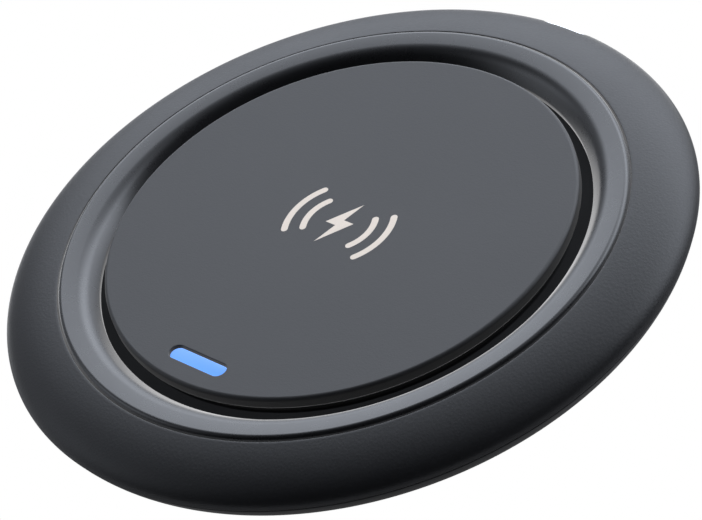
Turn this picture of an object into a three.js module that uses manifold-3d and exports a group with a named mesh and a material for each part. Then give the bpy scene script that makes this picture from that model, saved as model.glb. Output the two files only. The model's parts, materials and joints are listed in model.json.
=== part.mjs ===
// Round wireless charging pad, built as the separate pieces it comes apart into.
// Millimetres, +Z up. The origin is the centre of the foot ring's underside, on the
// surface the pad stands on. +Y is the rear, where the supply socket is.

import * as THREE from "three";
import { mergeVertices } from "three/addons/utils/BufferGeometryUtils.js";
import Module from "manifold-3d";

const wasm = await Module();
wasm.setup();

// ---------------------------------------------------------------- driving dimensions

const OUTER_RADIUS = 50;
const HEIGHT = 10;
const GAP = 0.3; // clearance between neighbouring pieces
const RING_STEPS = 64; // facets round a large turned piece
const SMALL_STEPS = 16; // facets round a small turned piece
const COIL_STEPS = 48; // facets round the coil
const CORNER_STEPS = 2; // facets round the corner of a small block
const CORNER_ROUND = 0.2; // radius of such a corner
const ARC_STEPS = 8; // facets along a curved stretch of a profile
const HIDDEN_ARC_STEPS = 4; // the same on a surface that faces inward
const LIP_STEPS = 4; // facets round the dish ring's lip
const EDGE_STEPS = 3; // facets round a small edge
const OVERCUT = 1; // how far a cutter runs past the faces it cuts

// Casing
const PARTING_Z = 5.0;
const SEAM_RADIUS = 41.2;
const SEAM_Z = 9.2;
const DOME_CENTRE_RADIUS = 36;
const UNDERSIDE_Z = 0.8;
const UNDERSIDE_RADIUS = 43;
const BOWL_CENTRE_RADIUS = 44.5;
const BOWL_CENTRE_Z = 7.5;
const BOWL_STEP = 0.2; // the lower casing stands back this far at the parting line
const WALL = 1.8;
const LOCATING_WALL = 1.4;
const FLOOR_TOP_Z = 2.1;

// Foot ring
const FOOT_INNER_RADIUS = 36;
const FOOT_OUTER_RADIUS = 40;
const FOOT_TOP_Z = 1.0;
const FOOT_CHAMFER = 0.25;

// Dish ring and disc
const DISH_OUTER_Z = 9.7;
const DISH_EDGE_CHAMFER = 0.4;
const DISH_LEVEL_SLOPE = Math.PI / 36;
const LIP_CENTRE_RADIUS = 38.05;
const LIP_ROUND = 1.4;
const DISH_STEEP_SLOPE = (47 * Math.PI) / 180;
const DISH_INNER_RADIUS = 35.6;
const DISH_INNER_CHAMFER = 0.25;
const DISH_WALL = 1.5;
const DISC_RADIUS = 34.2;
const DISC_BOTTOM_Z = 8.2;
const DISC_EDGE_ROUND = 0.5;

// Deck that carries the disc and the dish ring
const GROOVE_FLOOR_Z = 6.6;
const DECK_THICKNESS = 1.2;
const PEDESTAL_RADIUS = 33.2;
const PEDESTAL_Z = 7.3;
const PEDESTAL_WALL = 0.8;
const ADHESIVE_RADIUS = 31.2;
const ADHESIVE_THICKNESS = 0.3;
const LEDGE_INNER_RADIUS = 38.6;
const LEDGE_THICKNESS = 0.9;

// Light window, off the disc's centre toward the front
const WINDOW_Y = -29.8;
const WINDOW_LENGTH = 10.3;
const WINDOW_WIDTH = 2.35;
const WINDOW_RECESS = 0.4;
const GUIDE_BOTTOM_Z = 4.9;
const BAFFLE_WALL = 0.7;
const BAFFLE_TOP_Z = 5.1;

// Casing screws, under the foot ring
const SCREW_COUNT = 4;
const SCREW_CIRCLE_RADIUS = 38;
const SCREW_FIRST_ANGLE = Math.PI / 4;
const SCREW_SHANK_RADIUS = 0.9;
const SCREW_HEAD_RADIUS = 1.7;
const SCREW_HEAD_Z = 1.4;
const SCREW_HEAD_TOP_Z = 2.2;
const SCREW_TIP_Z = 5.0;
const SCREW_RECESS_RADIUS = 0.8;
const SCREW_RECESS_DEPTH = 0.4;
const BASE_BOSS_RADIUS = 2.9;
const BASE_BOSS_TOP_Z = 3.2;
const TOP_BOSS_RADIUS = 2.4;

// Coil stack, from the floor up
const THERMAL_PAD_RADIUS = 20;
const THERMAL_PAD_THICKNESS = 0.4;
const CARRIER_RADIUS = 26.6;
const CARRIER_PLATE = 0.5;
const CARRIER_RIM = 0.9;
const CARRIER_TOP_Z = 5.5;
const FERRITE_RADIUS = 25.3;
const FERRITE_THICKNESS = 0.6;
const FERRITE_SLOT_START = 7.2;
const COIL_OUTER_RADIUS = 24.8;
const COIL_INNER_RADIUS = 10.2;
const COIL_THICKNESS = 1.0;
const THERMISTOR_LENGTH = 2.4;
const THERMISTOR_WIDTH = 1.4;
const THERMISTOR_HEIGHT = 0.7;
const LEAD_RADIUS = 0.4;
const LEAD_SIDES = 8;
const LEAD_OFFSET = 2.2;
const LEAD_END_X = 30.5;
const LEAD_DROP_RUN = 1.8;
const LEAD_STEPS = 10;

// Circuit board
const BOARD_INNER_RADIUS = 27.2;
const BOARD_OUTER_RADIUS = 34.4;
const BOARD_THICKNESS = 0.8;
const BOARD_TAB_WIDTH = 17;
const BOARD_TAB_END_Y = 44;
const PARTS_CIRCLE_RADIUS = 30.8;
const LED_LENGTH = 3.2;
const LED_WIDTH = 1.6;
const LED_HEIGHT = 0.7;
const BANK_COUNT = 4;
const MOSFET_FIRST = 180; // degrees round the board
const MOSFET_PITCH = 11;
const CAPACITOR_FIRST = 320;
const CAPACITOR_PITCH = 9;

// Supply socket, a reversible 24-contact receptacle
const SOCKET_WIDTH = 8.94;
const SOCKET_HEIGHT = 3.2;
const SOCKET_SHEET = 0.3;
const SOCKET_REAR_Y = 42.2;
const SOCKET_MOUTH_Y = 49.2;
const SOCKET_CLEARANCE = 0.35;
const TONGUE_WIDTH = 6.6;
const TONGUE_THICKNESS = 0.7;
const TONGUE_BLOCK = 2.0;
const TONGUE_SETBACK = 0.6;

// ---------------------------------------------------------------- derived heights

const boardBottom = FLOOR_TOP_Z + GAP;
const boardTop = boardBottom + BOARD_THICKNESS;
const partsBottom = boardTop + GAP;
const socketZ = partsBottom + SOCKET_HEIGHT / 2;
const deckBottom = GROOVE_FLOOR_Z - DECK_THICKNESS;
const pedestalUnder = PEDESTAL_Z - DECK_THICKNESS;
const padBottom = FLOOR_TOP_Z + GAP;
const carrierBottom = padBottom + THERMAL_PAD_THICKNESS + GAP;
const ferriteBottom = carrierBottom + CARRIER_PLATE + GAP;
const coilBottom = ferriteBottom + FERRITE_THICKNESS + GAP;

// ---------------------------------------------------------------- shape helpers

const point = (r, z) => new THREE.Vector2(r, z);

// Points along an elliptical arc about (centreR, centreZ), between two angles.
function arc(centreR, centreZ, radiusR, radiusZ, from, to, steps = ARC_STEPS) {
  const points = [];
  for (let i = 0; i <= steps; i++) {
    const a = from + ((to - from) * i) / steps;
    points.push(point(centreR + radiusR * Math.cos(a), centreZ + radiusZ * Math.sin(a)));
  }
  return points;
}

// A closed section, listed anticlockwise in (r, z), turned about the Z axis.
function turned(profile, steps = RING_STEPS) {
  const onAxis = profile[0].x === 0 && profile[profile.length - 1].x === 0;
  const closed = onAxis ? profile : [...profile, profile[0]];
  return new THREE.LatheGeometry(closed, steps).rotateX(Math.PI / 2);
}

// A plain cylinder or washer standing between two heights.
function drum(radius, low, high, steps = RING_STEPS, hole = 0) {
  return turned([point(hole, low), point(radius, low), point(radius, high), point(hole, high)], steps);
}

// An outline in X and Y, extruded between two heights.
function slab(shape, low, high, curveSegments = 6) {
  const settings = { depth: high - low, bevelEnabled: false, curveSegments };
  return new THREE.ExtrudeGeometry(shape, settings).translate(0, 0, low);
}

// A pill: a rectangle with half-round ends, its long axis along X.
function pill(length, width) {
  const r = width / 2;
  const x = length / 2 - r;
  const shape = new THREE.Shape();
  shape.absarc(x, 0, r, -Math.PI / 2, Math.PI / 2);
  shape.absarc(-x, 0, r, Math.PI / 2, (3 * Math.PI) / 2);
  shape.closePath();
  return shape;
}

// A rectangle with rounded corners, centred on the origin.
function roundedRectangle(length, width, r) {
  const x = length / 2 - r;
  const y = width / 2 - r;
  const shape = new THREE.Shape();
  shape.absarc(x, -y, r, -Math.PI / 2, 0);
  shape.absarc(x, y, r, 0, Math.PI / 2);
  shape.absarc(-x, y, r, Math.PI / 2, Math.PI);
  shape.absarc(-x, -y, r, Math.PI, (3 * Math.PI) / 2);
  shape.closePath();
  return shape;
}

// A pill outline extruded along Y at the supply socket's height.
function socketPrism(shape, fromY, toY) {
  return slab(shape, 0, toY - fromY)
    .rotateX(-Math.PI / 2)
    .translate(0, fromY, socketZ);
}

function solid(geometry) {
  const bare = (geometry.index ? geometry.toNonIndexed() : geometry).clone();
  bare.deleteAttribute("normal");
  bare.deleteAttribute("uv");
  const merged = mergeVertices(bare, 1e-4);
  return new wasm.Manifold(
    new wasm.Mesh({
      numProp: 3,
      vertProperties: merged.attributes.position.array,
      triVerts: new Uint32Array(merged.index.array),
    }),
  );
}

function geometryOf(body) {
  const mesh = body.getMesh();
  const geometry = new THREE.BufferGeometry();
  geometry.setAttribute("position", new THREE.BufferAttribute(mesh.vertProperties, 3));
  geometry.setIndex(new THREE.BufferAttribute(mesh.triVerts, 1));
  const flat = geometry.toNonIndexed();
  flat.computeVertexNormals();
  return flat;
}

const joined = (first, ...rest) =>
  geometryOf(rest.reduce((body, g) => body.add(solid(g)), solid(first)));

const cut = (first, ...rest) =>
  geometryOf(rest.reduce((body, g) => body.subtract(solid(g)), solid(first)));

// Calls make(x, y, index) at each screw position.
function atScrews(make) {
  const made = [];
  for (let i = 0; i < SCREW_COUNT; i++) {
    const angle = SCREW_FIRST_ANGLE + (i * 2 * Math.PI) / SCREW_COUNT;
    const x = SCREW_CIRCLE_RADIUS * Math.cos(angle);
    made.push(make(x, SCREW_CIRCLE_RADIUS * Math.sin(angle), i));
  }
  return made;
}

// ---------------------------------------------------------------- finishes

const finish = (color, roughness, metalness = 0) =>
  new THREE.MeshStandardMaterial({ color, roughness, metalness });

const softTouch = finish(0x33343a, 0.75);
const satin = finish(0x45464c, 0.4);
const discFace = finish(0x4a4b50, 0.85);
const darkMoulding = finish(0x141416, 0.6);
const silicone = finish(0x232427, 0.9);
const lightWindow = finish(0x5aa0ff, 0.3);
lightWindow.emissive = new THREE.Color(0x3a86ff);
const foam = finish(0x1c1c1e, 1.0);
const film = finish(0xd8d4c8, 0.7);
const steel = finish(0xb9bcc0, 0.35, 1);
const copper = finish(0xb8703c, 0.45, 0.8);
const ferrite = finish(0x2b2b2d, 0.55);
const gapFiller = finish(0x8f9fb3, 0.9);
const boardLaminate = finish(0x123d24, 0.5);
const moulding = finish(0x1b1b1d, 0.55);
const ceramicBody = finish(0xa88a62, 0.5);
const whiteBody = finish(0xe8e6de, 0.5);

const pad = new THREE.Group();

function add(name, geometry, material) {
  const mesh = new THREE.Mesh(geometry, material);
  mesh.name = name;
  pad.add(mesh);
  return mesh;
}

// ---------------------------------------------------------------- casing

// The opening for the supply socket, shared by both halves of the casing.
function socketCutter() {
  const grown = 2 * SOCKET_CLEARANCE;
  const outline = pill(SOCKET_WIDTH + grown, SOCKET_HEIGHT + grown);
  return socketPrism(outline, SOCKET_REAR_Y - SOCKET_CLEARANCE, OUTER_RADIUS + OVERCUT);
}

// Upper casing: an elliptical dome that already slopes at the seam, a locating wall there, and a
// ledge for the deck.
function outerRing() {
  const wallRadius = SEAM_RADIUS + GAP / 2;
  const low = PARTING_Z + GAP / 2;
  const ledgeTop = deckBottom - GAP;
  const ledgeBottom = ledgeTop - LEDGE_THICKNESS;
  const domeWide = OUTER_RADIUS - DOME_CENTRE_RADIUS;
  const domeEnd = Math.acos((wallRadius - DOME_CENTRE_RADIUS) / domeWide);
  const domeHigh = (SEAM_Z - low) / Math.sin(domeEnd);
  const dome = arc(DOME_CENTRE_RADIUS, low, domeWide, domeHigh, 0, domeEnd);
  const innerFoot = wallRadius + LOCATING_WALL;
  const innerWide = OUTER_RADIUS - WALL - innerFoot;
  const innerHigh = SEAM_Z - low - WALL;
  const innerDome = arc(innerFoot, low, innerWide, innerHigh, Math.PI / 2, 0, HIDDEN_ARC_STEPS);
  const section = [
    point(LEDGE_INNER_RADIUS, ledgeBottom),
    point(innerFoot, ledgeBottom),
    ...innerDome,
    ...dome,
    point(wallRadius, ledgeTop),
    point(LEDGE_INNER_RADIUS, ledgeTop),
  ];
  const bossBottom = BASE_BOSS_TOP_Z + GAP;
  const bosses = atScrews((x, y) =>
    drum(TOP_BOSS_RADIUS, bossBottom, ledgeTop, SMALL_STEPS).translate(x, y, 0),
  );
  const pilotRadius = SCREW_SHANK_RADIUS + GAP;
  const pilots = atScrews((x, y) =>
    drum(pilotRadius, bossBottom - OVERCUT, ledgeTop + OVERCUT, SMALL_STEPS).translate(x, y, 0),
  );
  return cut(joined(turned(section), ...bosses), ...pilots, socketCutter());
}

// Lower casing: a shallow bowl, tapered from the parting line down, with a groove for the foot ring
// and four screw bosses.
function baseShell() {
  const high = PARTING_Z - GAP / 2;
  const bowlHigh = BOWL_CENTRE_Z - UNDERSIDE_Z;
  const bowlEnd = -Math.asin((BOWL_CENTRE_Z - high) / bowlHigh);
  const bowlWide = (OUTER_RADIUS - BOWL_STEP - BOWL_CENTRE_RADIUS) / Math.cos(bowlEnd);
  const innerWide = OUTER_RADIUS - UNDERSIDE_RADIUS - WALL;
  const innerHigh = high - FLOOR_TOP_Z;
  const grooveZ = FOOT_TOP_Z + GAP;
  const section = [
    point(0, UNDERSIDE_Z),
    point(FOOT_INNER_RADIUS - GAP, UNDERSIDE_Z),
    point(FOOT_INNER_RADIUS - GAP, grooveZ),
    point(FOOT_OUTER_RADIUS + GAP, grooveZ),
    point(FOOT_OUTER_RADIUS + GAP, UNDERSIDE_Z),
    ...arc(BOWL_CENTRE_RADIUS, BOWL_CENTRE_Z, bowlWide, bowlHigh, -Math.PI / 2, bowlEnd),
    ...arc(UNDERSIDE_RADIUS, high, innerWide, innerHigh, 0, -Math.PI / 2, HIDDEN_ARC_STEPS),
    point(0, FLOOR_TOP_Z),
  ];
  const bosses = atScrews((x, y) =>
    drum(BASE_BOSS_RADIUS, grooveZ, BASE_BOSS_TOP_Z, SMALL_STEPS).translate(x, y, 0),
  );
  const headRooms = atScrews((x, y) => {
    const top = SCREW_HEAD_TOP_Z + GAP;
    return drum(SCREW_HEAD_RADIUS + GAP, grooveZ - OVERCUT, top, SMALL_STEPS).translate(x, y, 0);
  });
  const shankHoles = atScrews((x, y) => {
    const top = BASE_BOSS_TOP_Z + OVERCUT;
    return drum(SCREW_SHANK_RADIUS + GAP, grooveZ, top, SMALL_STEPS).translate(x, y, 0);
  });
  return cut(joined(turned(section), ...bosses), ...headRooms, ...shankHoles, socketCutter());
}

// Anti-slip ring, chamfered on its lower edges, standing proud of the underside.
function footRing() {
  return turned([
    point(FOOT_INNER_RADIUS + FOOT_CHAMFER, 0),
    point(FOOT_OUTER_RADIUS - FOOT_CHAMFER, 0),
    point(FOOT_OUTER_RADIUS, FOOT_CHAMFER),
    point(FOOT_OUTER_RADIUS, FOOT_TOP_Z),
    point(FOOT_INNER_RADIUS, FOOT_TOP_Z),
    point(FOOT_INNER_RADIUS, FOOT_CHAMFER),
  ]);
}

// A screw with a flat pan head, its drive recess open downward.
function casingScrew() {
  const tipChamfer = SCREW_SHANK_RADIUS / 2;
  return turned(
    [
      point(0, SCREW_HEAD_Z + SCREW_RECESS_DEPTH),
      point(SCREW_RECESS_RADIUS, SCREW_HEAD_Z),
      point(SCREW_HEAD_RADIUS, SCREW_HEAD_Z),
      point(SCREW_HEAD_RADIUS, SCREW_HEAD_TOP_Z),
      point(SCREW_SHANK_RADIUS, SCREW_HEAD_TOP_Z),
      point(SCREW_SHANK_RADIUS, SCREW_TIP_Z - tipChamfer),
      point(tipChamfer, SCREW_TIP_Z),
      point(0, SCREW_TIP_Z),
    ],
    SMALL_STEPS,
  );
}

// ---------------------------------------------------------------- top pieces

// Satin ring: nearly level from the seam to a rounded lip, then a steep slope to the groove.
function dishRing() {
  const outer = SEAM_RADIUS - GAP / 2;
  const low = GROOVE_FLOOR_Z + GAP;
  const under = DISH_OUTER_Z - DISH_WALL;
  const lipStart = LIP_CENTRE_RADIUS - LIP_ROUND * Math.sin(DISH_LEVEL_SLOPE);
  const lipStartZ = DISH_OUTER_Z - (outer - lipStart) * Math.tan(DISH_LEVEL_SLOPE);
  const lipCentreZ = lipStartZ - LIP_ROUND * Math.cos(DISH_LEVEL_SLOPE);
  const from = Math.PI / 2 + DISH_LEVEL_SLOPE;
  const to = Math.PI / 2 + DISH_STEEP_SLOPE;
  const lip = arc(LIP_CENTRE_RADIUS, lipCentreZ, LIP_ROUND, LIP_ROUND, from, to, LIP_STEPS);
  const lipEnd = lip[LIP_STEPS];
  const footRadius = DISH_INNER_RADIUS + DISH_INNER_CHAMFER;
  const footZ = lipEnd.y - (lipEnd.x - footRadius) * Math.tan(DISH_STEEP_SLOPE);
  const hollowInner = DISH_INNER_RADIUS + DISH_WALL;
  return turned([
    point(DISH_INNER_RADIUS, low),
    point(hollowInner, low),
    point(hollowInner, low + GAP),
    point(LIP_CENTRE_RADIUS, under),
    point(outer - DISH_WALL, under),
    point(outer - DISH_WALL, low),
    point(outer, low),
    point(outer, DISH_OUTER_Z - DISH_EDGE_CHAMFER),
    point(outer - DISH_EDGE_CHAMFER, DISH_OUTER_Z),
    ...lip,
    point(footRadius, footZ),
    point(DISH_INNER_RADIUS, footZ - DISH_INNER_CHAMFER),
  ]);
}

function windowCutter(low, high) {
  const grown = 2 * GAP;
  const outline = pill(WINDOW_LENGTH + grown, WINDOW_WIDTH + grown);
  return slab(outline, low, high).translate(0, WINDOW_Y, 0);
}

// Deck: a flat flange under the groove and the dish ring, with a raised seat for the disc.
function topDeck() {
  const outer = SEAM_RADIUS - GAP / 2;
  const section = [
    point(0, pedestalUnder),
    point(PEDESTAL_RADIUS - PEDESTAL_WALL, pedestalUnder),
    point(PEDESTAL_RADIUS - PEDESTAL_WALL, deckBottom),
    point(outer, deckBottom),
    point(outer, GROOVE_FLOOR_Z),
    point(PEDESTAL_RADIUS, GROOVE_FLOOR_Z),
    point(PEDESTAL_RADIUS, PEDESTAL_Z),
    point(0, PEDESTAL_Z),
  ];
  return cut(turned(section), windowCutter(deckBottom - OVERCUT, PEDESTAL_Z + OVERCUT));
}

function discAdhesive() {
  const low = PEDESTAL_Z + GAP;
  const high = low + ADHESIVE_THICKNESS;
  return cut(drum(ADHESIVE_RADIUS, low, high), windowCutter(low - OVERCUT, high + OVERCUT));
}

function centreDisc() {
  const r = DISC_EDGE_ROUND;
  const section = [
    point(0, DISC_BOTTOM_Z),
    point(DISC_RADIUS - GAP, DISC_BOTTOM_Z),
    point(DISC_RADIUS, DISC_BOTTOM_Z + GAP),
    ...arc(DISC_RADIUS - r, HEIGHT - r, r, r, 0, Math.PI / 2, EDGE_STEPS),
    point(0, HEIGHT),
  ];
  return cut(turned(section), windowCutter(DISC_BOTTOM_Z - OVERCUT, HEIGHT + OVERCUT));
}

function lightGuide() {
  const outline = pill(WINDOW_LENGTH, WINDOW_WIDTH);
  return slab(outline, GUIDE_BOTTOM_Z, HEIGHT - WINDOW_RECESS).translate(0, WINDOW_Y, 0);
}

// Foam sleeve that keeps the light under its window.
function lightBaffle() {
  const inner = 2 * GAP;
  const outer = inner + 2 * BAFFLE_WALL;
  const outline = pill(WINDOW_LENGTH + outer, WINDOW_WIDTH + outer);
  outline.holes.push(pill(WINDOW_LENGTH + inner, WINDOW_WIDTH + inner));
  return slab(outline, partsBottom, BAFFLE_TOP_Z).translate(0, WINDOW_Y, 0);
}

// ---------------------------------------------------------------- coil stack

// Tray with a rim, notched where the coil's two leads pass.
function coilCarrier() {
  const plateTop = carrierBottom + CARRIER_PLATE;
  const section = [
    point(0, carrierBottom),
    point(CARRIER_RADIUS, carrierBottom),
    point(CARRIER_RADIUS, CARRIER_TOP_Z),
    point(CARRIER_RADIUS - CARRIER_RIM, CARRIER_TOP_Z),
    point(CARRIER_RADIUS - CARRIER_RIM, plateTop),
    point(0, plateTop),
  ];
  const notchWidth = 2 * (LEAD_OFFSET + LEAD_RADIUS + GAP);
  const notch = roundedRectangle(4 * CARRIER_RIM, notchWidth, CORNER_ROUND);
  const cutter = slab(notch, plateTop, CARRIER_TOP_Z + OVERCUT, CORNER_STEPS);
  cutter.translate(CARRIER_RADIUS, 0, 0);
  return cut(turned(section), cutter);
}

// Round ferrite with a slot for the lead that comes from the coil's inner turn.
function ferritePlate() {
  const top = ferriteBottom + FERRITE_THICKNESS;
  const slot = roundedRectangle(FERRITE_RADIUS, 2 * (LEAD_RADIUS + GAP), CORNER_ROUND);
  const cutter = slab(slot, ferriteBottom - OVERCUT, top + OVERCUT, CORNER_STEPS);
  cutter.translate(FERRITE_SLOT_START + FERRITE_RADIUS / 2, LEAD_OFFSET, 0);
  return cut(drum(FERRITE_RADIUS, ferriteBottom, top), cutter);
}

// The flat winding as one ring with rounded rims.
function transmitterCoil() {
  const r = COIL_THICKNESS / 2;
  const z = coilBottom + r;
  return turned(
    [
      ...arc(COIL_OUTER_RADIUS - r, z, r, r, -Math.PI / 2, Math.PI / 2, HIDDEN_ARC_STEPS),
      ...arc(COIL_INNER_RADIUS + r, z, r, r, Math.PI / 2, (3 * Math.PI) / 2, HIDDEN_ARC_STEPS),
    ],
    COIL_STEPS,
  );
}

// A lead that runs along X at side y and drops to the board.
function coilLead(startX, startZ, y) {
  const endZ = partsBottom + LEAD_RADIUS;
  const path = new THREE.CatmullRomCurve3([
    new THREE.Vector3(startX, y, startZ),
    new THREE.Vector3(CARRIER_RADIUS, y, startZ),
    new THREE.Vector3(CARRIER_RADIUS + LEAD_DROP_RUN, y, (startZ + endZ) / 2),
    new THREE.Vector3(LEAD_END_X, y, endZ),
  ]);
  const section = new THREE.Shape();
  for (let i = 0; i < LEAD_SIDES; i++) {
    const angle = (i * 2 * Math.PI) / LEAD_SIDES;
    const x = LEAD_RADIUS * Math.cos(angle);
    const z = LEAD_RADIUS * Math.sin(angle);
    if (i === 0) section.moveTo(x, z);
    else section.lineTo(x, z);
  }
  return new THREE.ExtrudeGeometry(section, { steps: LEAD_STEPS, extrudePath: path });
}

// ---------------------------------------------------------------- board and socket

// Ring-shaped board with a tab that reaches back under the supply socket.
function mainBoard() {
  const halfTab = BOARD_TAB_WIDTH / 2;
  const tabAngle = Math.asin(halfTab / BOARD_OUTER_RADIUS);
  const outline = new THREE.Shape();
  outline.absarc(0, 0, BOARD_OUTER_RADIUS, Math.PI / 2 + tabAngle, 2.5 * Math.PI - tabAngle);
  outline.lineTo(halfTab, BOARD_TAB_END_Y);
  outline.lineTo(-halfTab, BOARD_TAB_END_Y);
  outline.closePath();
  const hole = new THREE.Path();
  hole.absarc(0, 0, BOARD_INNER_RADIUS, 0, 2 * Math.PI);
  outline.holes.push(hole);
  return slab(outline, boardBottom, boardTop, RING_STEPS / 2);
}

// Folded steel shell, open at the mouth.
function socketShell() {
  const outline = pill(SOCKET_WIDTH, SOCKET_HEIGHT);
  const inner = 2 * SOCKET_SHEET;
  outline.holes.push(pill(SOCKET_WIDTH - inner, SOCKET_HEIGHT - inner));
  return socketPrism(outline, SOCKET_REAR_Y, SOCKET_MOUTH_Y);
}

// Contact tongue and the moulded block that holds it at the back of the shell.
function socketTongue() {
  const inner = 2 * (SOCKET_SHEET + GAP);
  const block = pill(SOCKET_WIDTH - inner, SOCKET_HEIGHT - inner);
  const tongue = roundedRectangle(TONGUE_WIDTH, TONGUE_THICKNESS, CORNER_ROUND);
  const blockEnd = SOCKET_REAR_Y + TONGUE_BLOCK;
  return joined(
    socketPrism(block, SOCKET_REAR_Y, blockEnd),
    socketPrism(tongue, blockEnd - OVERCUT, SOCKET_MOUTH_Y - TONGUE_SETBACK),
  );
}

// A packaged component standing on the board, its long side across the radius.
function component(name, material, degrees, length, width, height, round = CORNER_ROUND) {
  const outline = roundedRectangle(width, length, round);
  const mesh = add(name, slab(outline, 0, height, CORNER_STEPS), material);
  const angle = THREE.MathUtils.degToRad(degrees);
  const x = PARTS_CIRCLE_RADIUS * Math.cos(angle);
  mesh.position.set(x, PARTS_CIRCLE_RADIUS * Math.sin(angle), partsBottom);
  mesh.rotation.z = angle;
}

// ---------------------------------------------------------------- assembly

add("base_shell", baseShell(), softTouch);
add("outer_ring", outerRing(), softTouch);
add("dish_ring", dishRing(), satin);
add("top_deck", topDeck(), darkMoulding);
add("centre_disc", centreDisc(), discFace);
add("disc_adhesive", discAdhesive(), film);
add("light_guide", lightGuide(), lightWindow);
add("light_baffle", lightBaffle(), foam);
add("foot_ring", footRing(), silicone);
atScrews((x, y, i) => {
  const screw = add("screw_" + (i + 1), casingScrew(), steel);
  screw.position.set(x, y, 0);
});

add("transmitter_coil", transmitterCoil(), copper);
add("ferrite_plate", ferritePlate(), ferrite);
add("coil_carrier", coilCarrier(), moulding);
add("thermal_pad", drum(THERMAL_PAD_RADIUS, padBottom, padBottom + THERMAL_PAD_THICKNESS), gapFiller);
const slotZ = ferriteBottom + FERRITE_THICKNESS / 2;
add("coil_lead_inner", coilLead(COIL_INNER_RADIUS - 1.5, slotZ, LEAD_OFFSET), copper);
const coilZ = coilBottom + COIL_THICKNESS / 2;
add("coil_lead_outer", coilLead(COIL_OUTER_RADIUS + GAP, coilZ, -LEAD_OFFSET), copper);
const beadOutline = roundedRectangle(THERMISTOR_LENGTH, THERMISTOR_WIDTH, CORNER_ROUND);
const bead = slab(beadOutline, 0, THERMISTOR_HEIGHT, CORNER_STEPS);
add("thermistor", bead, moulding).position.set(0, 0, coilBottom);

add("main_pcb", mainBoard(), boardLaminate);
add("usb_shell", socketShell(), steel);
add("usb_tongue", socketTongue(), moulding);
component("controller_ic", moulding, 55, 5, 5, 0.9);
component("driver_ic", moulding, 125, 4, 4, 0.9);
component("crystal", steel, 37, 3.2, 2.5, 0.8);
component("power_inductor", ferrite, 146, 5.2, 5.2, 1.6, 0.8);
component("bulk_capacitor", ceramicBody, 162, 3.5, 2.8, 1.6);
for (let i = 0; i < BANK_COUNT; i++) {
  const mosfetAngle = MOSFET_FIRST + MOSFET_PITCH * i;
  const capacitorAngle = CAPACITOR_FIRST - CAPACITOR_PITCH * i;
  component("mosfet_" + (i + 1), moulding, mosfetAngle, 3.3, 3.3, 1.0);
  component("resonant_capacitor_" + (i + 1), ceramicBody, capacitorAngle, 3.2, 2.5, 1.6);
}
const ledOutline = roundedRectangle(LED_LENGTH, LED_WIDTH, CORNER_ROUND);
const led = slab(ledOutline, 0, LED_HEIGHT, CORNER_STEPS);
add("status_led", led, whiteBody).position.set(0, WINDOW_Y, partsBottom);

export default pad;
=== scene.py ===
"""Looks for a round wireless charging pad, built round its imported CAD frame."""

import json
import math

import bmesh
import bpy
from bpy.props import FloatProperty, FloatVectorProperty, IntProperty, PointerProperty
from mathutils import Matrix, Vector

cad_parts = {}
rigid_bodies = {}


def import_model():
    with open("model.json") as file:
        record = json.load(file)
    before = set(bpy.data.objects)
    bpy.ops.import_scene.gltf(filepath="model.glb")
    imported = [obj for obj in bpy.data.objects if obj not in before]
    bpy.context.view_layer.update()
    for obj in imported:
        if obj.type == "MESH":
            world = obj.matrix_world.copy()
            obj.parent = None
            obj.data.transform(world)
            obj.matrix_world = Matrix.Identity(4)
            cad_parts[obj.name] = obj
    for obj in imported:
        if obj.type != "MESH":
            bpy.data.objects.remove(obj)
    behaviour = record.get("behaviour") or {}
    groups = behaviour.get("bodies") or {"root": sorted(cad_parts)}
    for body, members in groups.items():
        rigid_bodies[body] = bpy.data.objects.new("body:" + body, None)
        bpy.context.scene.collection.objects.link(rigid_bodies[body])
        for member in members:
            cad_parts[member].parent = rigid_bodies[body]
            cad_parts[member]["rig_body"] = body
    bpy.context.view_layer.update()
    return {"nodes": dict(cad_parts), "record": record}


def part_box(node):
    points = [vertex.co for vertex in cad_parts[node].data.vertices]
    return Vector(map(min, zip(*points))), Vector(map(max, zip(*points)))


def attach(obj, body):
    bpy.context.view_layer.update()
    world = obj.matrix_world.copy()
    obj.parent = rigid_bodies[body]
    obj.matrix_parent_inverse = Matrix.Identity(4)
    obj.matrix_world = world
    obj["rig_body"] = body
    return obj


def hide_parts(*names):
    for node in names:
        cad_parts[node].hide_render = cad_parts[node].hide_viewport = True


bl_info = {
    "name": "Wireless charging pad",
    "version": (1, 0, 0),
    "blender": (4, 5, 0),
    "location": "View3D > Sidebar > Charging pad",
    "description": "Builds the casing, disc, light window and inner parts of a charging pad",
    "category": "Object",
}

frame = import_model()

MM = 0.001
QUARTER = math.pi / 2
ROOT = "root"
UP = (0.0, 0.0, 1.0)
WHITE = (1.0, 1.0, 1.0, 1.0)
BLACK = (0.0, 0.0, 0.0, 1.0)

# Sizes that the CAD boxes don't give, in millimetres.
SEAM_WALL_RADIUS = 41.35
SEAM_Z = 9.25
DOME_CENTRE_RADIUS = 36.0
DISH_OUTER_RADIUS = 41.15
DISH_TOP_Z = 9.7
RING_WALL = 1.7
UNDERSIDE_RADIUS = 43.0
BOWL_CENTRE_RADIUS = 44.5
BOWL_CENTRE_Z = 7.5
FLOOR_TOP_Z = 2.1
DISH_INNER_RADIUS = 35.6
DISH_WALL = 1.5
DISH_INNER_Z = 7.5
LIP_ROUND = 2.8
LEVEL_SLOPE = math.radians(5)
STEEP_SLOPE = math.radians(47)
PEDESTAL_RADIUS = 33.2
PEDESTAL_WALL = 0.8
DECK_THICKNESS = 1.2
GROOVE_FLOOR_Z = 6.6
FOOT_INNER_RADIUS = 36.0
LEDGE_INNER_RADIUS = 38.6
LEDGE_BOTTOM_Z = 4.2
LEDGE_TOP_Z = 5.1
SCREW_CIRCLE_RADIUS = 38.0
COIL_INNER_RADIUS = 10.2
TONGUE_WIDTH = 6.6
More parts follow.
